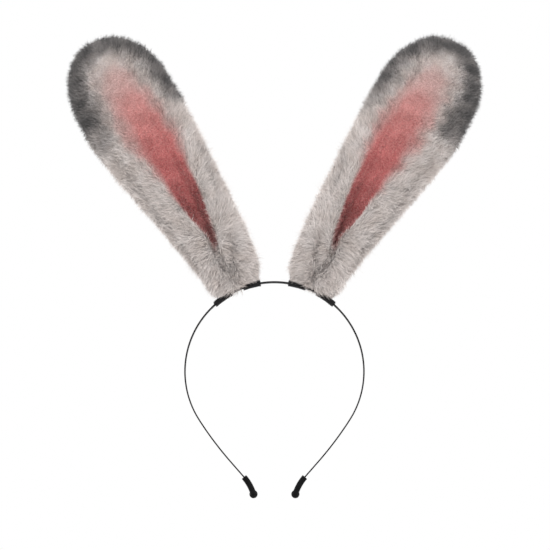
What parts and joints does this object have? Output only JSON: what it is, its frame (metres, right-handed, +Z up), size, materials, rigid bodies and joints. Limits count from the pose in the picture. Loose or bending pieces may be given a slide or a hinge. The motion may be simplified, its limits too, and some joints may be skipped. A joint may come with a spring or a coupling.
{
  "type": "animal ears headband",
  "caption": "Slim steel headband with rubber-capped ends and tall plush rabbit-style ears with bendable tips, held on by felt tabs.",
  "frame": {"origin": "inner face of the strip at the crown, midway across its width, where it sits on the head", "axes": "+X to the right as seen from the front, +Y to the back, +Z up; the pink ear linings face -Y"},
  "size_m": [0.3109, 0.024, 0.3439],
  "materials": {
    "strip": "satin",
    "cap": "matte",
    "felt": "matte",
    "grey_fur": "matte",
    "lining_fur": "matte",
    "stuffing": "matte",
    "wire": "satin"
  },
  "bodies": {
    "headband": {"crown_strip": "strip", "left_inner_tab": "felt", "left_outer_tab": "felt", "left_ear_back_lower": "grey_fur", "left_ear_lining_lower": "lining_fur", "left_ear_stuffing_lower": "stuffing", "left_ear_wire_lower": "wire", "right_inner_tab": "felt", "right_outer_tab": "felt", "right_ear_back_lower": "grey_fur", "right_ear_lining_lower": "lining_fur", "right_ear_stuffing_lower": "stuffing", "right_ear_wire_lower": "wire"},
    "left_leg": {"left_leg_strip": "strip", "left_end_cap": "cap"},
    "left_ear_tip": {"left_ear_back_tip": "grey_fur", "left_ear_lining_tip": "lining_fur", "left_ear_stuffing_tip": "stuffing", "left_ear_wire_tip": "wire"},
    "right_leg": {"right_leg_strip": "strip", "right_end_cap": "cap"},
    "right_ear_tip": {"right_ear_back_tip": "grey_fur", "right_ear_lining_tip": "lining_fur", "right_ear_stuffing_tip": "stuffing", "right_ear_wire_tip": "wire"}
  },
  "joints": [
    {"name": "left_leg_spread", "type": "hinge", "parent": "headband", "child": "left_leg", "pos_m": [-0.04596, 0, -0.01854], "axis": [0, 1, 0], "range_deg": [-3, 25], "stiffness_Nm_per_rad": 0.35},
    {"name": "left_ear_fold", "type": "hinge", "parent": "headband", "child": "left_ear_tip", "pos_m": [-0.07677, 0, 0.08148], "axis": [0.8746, 0, 0.4848], "range_deg": [-70, 70]},
    {"name": "right_leg_spread", "type": "hinge", "parent": "headband", "child": "right_leg", "pos_m": [0.04596, 0, -0.01854], "axis": [0, -1, 0], "range_deg": [-3, 25], "stiffness_Nm_per_rad": 0.35},
    {"name": "right_ear_fold", "type": "hinge", "parent": "headband", "child": "right_ear_tip", "pos_m": [0.07677, 0, 0.08148], "axis": [0.8746, 0, -0.4848], "range_deg": [-70, 70]}
  ]
}
